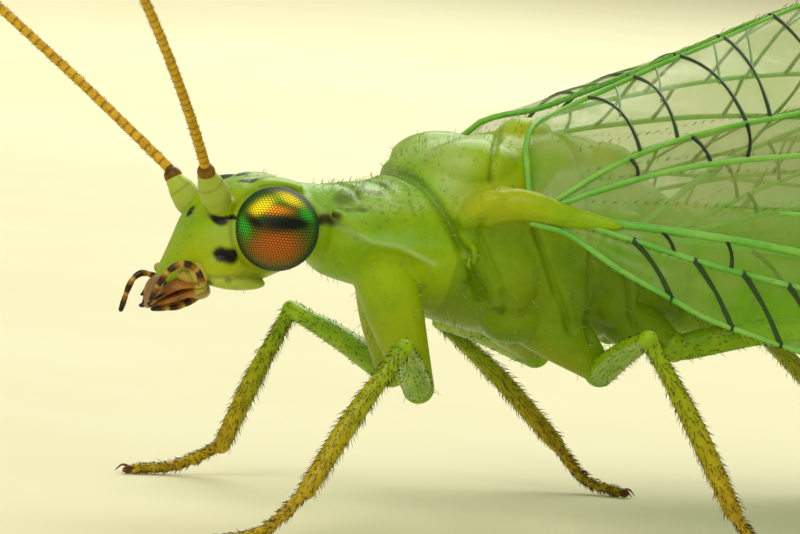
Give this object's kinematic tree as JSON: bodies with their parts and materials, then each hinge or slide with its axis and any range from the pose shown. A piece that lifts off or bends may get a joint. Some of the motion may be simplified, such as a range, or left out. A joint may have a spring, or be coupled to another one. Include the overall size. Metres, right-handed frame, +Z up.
{
  "type": "green lacewing",
  "caption": "Standing green lacewing with roof-folded net-veined wings, golden eyes and long thread-like antennae.",
  "frame": {"origin": "middle of the underside of the model's bounding box, on the floor under its feet", "axes": "-Y forward, the way the head faces; +X to the animal's left; +Z up"},
  "size_m": [0.014, 0.0234, 0.0089],
  "materials": {
    "body_green": "satin yellow-green cuticle",
    "eye": "glossy faceted, metallic green, gold and copper",
    "flagellum": "matt ringed ochre",
    "labrum": "glossy pale amber",
    "mouthparts": "glossy amber brown with black tips",
    "tarsus": "satin ochre",
    "wing_membrane": "clear membrane with green veins and black cross veins"
  },
  "bodies": {
    "root": {"abdomen_front": "body_green", "abdomen_middle": "body_green", "abdomen_rear": "body_green", "antenna_base_left": "body_green", "antenna_base_right": "body_green", "coxa_fore_left": "body_green", "coxa_fore_right": "body_green", "coxa_hind_left": "body_green", "coxa_hind_right": "body_green", "coxa_middle_left": "body_green", "coxa_middle_right": "body_green", "eye_left": "eye", "eye_right": "eye", "femur_fore_left": "body_green", "femur_fore_right": "body_green", "femur_hind_left": "body_green", "femur_hind_right": "body_green", "femur_middle_left": "body_green", "femur_middle_right": "body_green", "flagellum_far_left": "flagellum", "flagellum_far_right": "flagellum", "flagellum_near_left": "flagellum", "flagellum_near_right": "flagellum", "forewing_left": "wing_membrane", "forewing_right": "wing_membrane", "head": "body_green", "hindwing_left": "wing_membrane", "hindwing_right": "wing_membrane", "labial_palp_left": "mouthparts", "labial_palp_right": "mouthparts", "labrum": "labrum", "maxillary_palp_left": "mouthparts", "maxillary_palp_right": "mouthparts", "mesothorax": "body_green", "metathorax": "body_green", "mouth_cone": "mouthparts", "prothorax": "body_green", "tarsus_fore_left": "tarsus", "tarsus_fore_right": "tarsus", "tarsus_hind_left": "tarsus", "tarsus_hind_right": "tarsus", "tarsus_middle_left": "tarsus", "tarsus_middle_right": "tarsus", "tibia_fore_left": "body_green", "tibia_fore_right": "body_green", "tibia_hind_left": "body_green", "tibia_hind_right": "body_green", "tibia_middle_left": "body_green", "tibia_middle_right": "body_green"}
  },
  "joints": []
}
